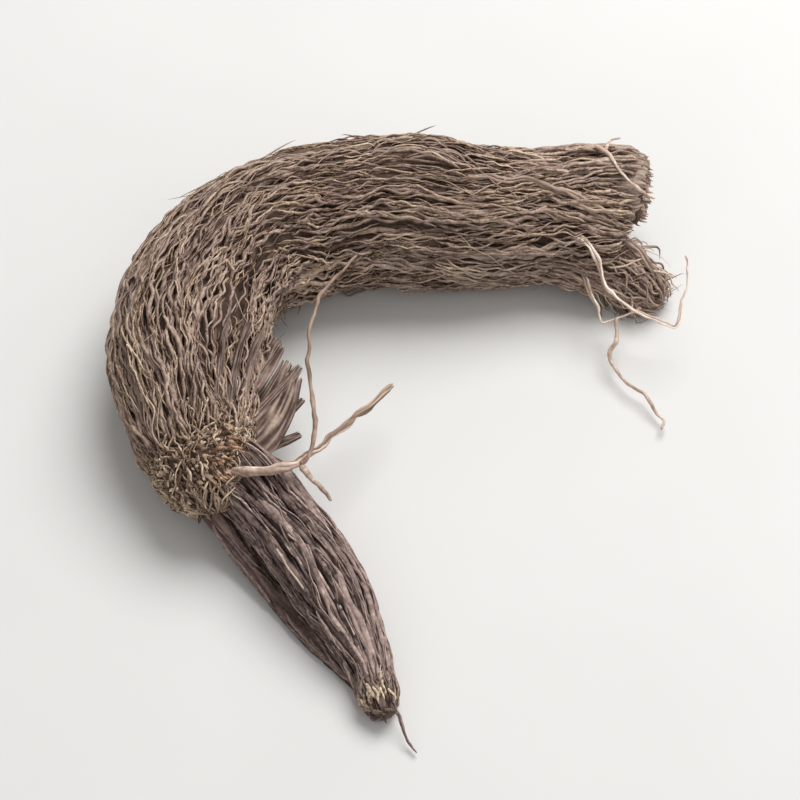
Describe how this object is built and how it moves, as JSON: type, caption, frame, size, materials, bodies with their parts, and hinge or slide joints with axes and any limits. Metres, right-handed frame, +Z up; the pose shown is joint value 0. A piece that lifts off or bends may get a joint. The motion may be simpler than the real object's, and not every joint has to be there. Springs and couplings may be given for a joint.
{
  "type": "valerian root",
  "caption": "Dried hooked root with a felted fibre sheath, a grainy crown and a ridged taproot, lying on its side.",
  "frame": {"origin": "middle of the footprint, on the surface that the root lies on", "axes": "+Y from the taproot's broken tip towards the upper arm of the hook, +X along that arm towards the frayed shoot end, +Z up"},
  "size_m": [0.0502, 0.0558, 0.0131],
  "materials": {
    "root": "matt, dry and fibrous"
  },
  "bodies": {
    "root": {"valerian_root": "root"}
  },
  "joints": []
}
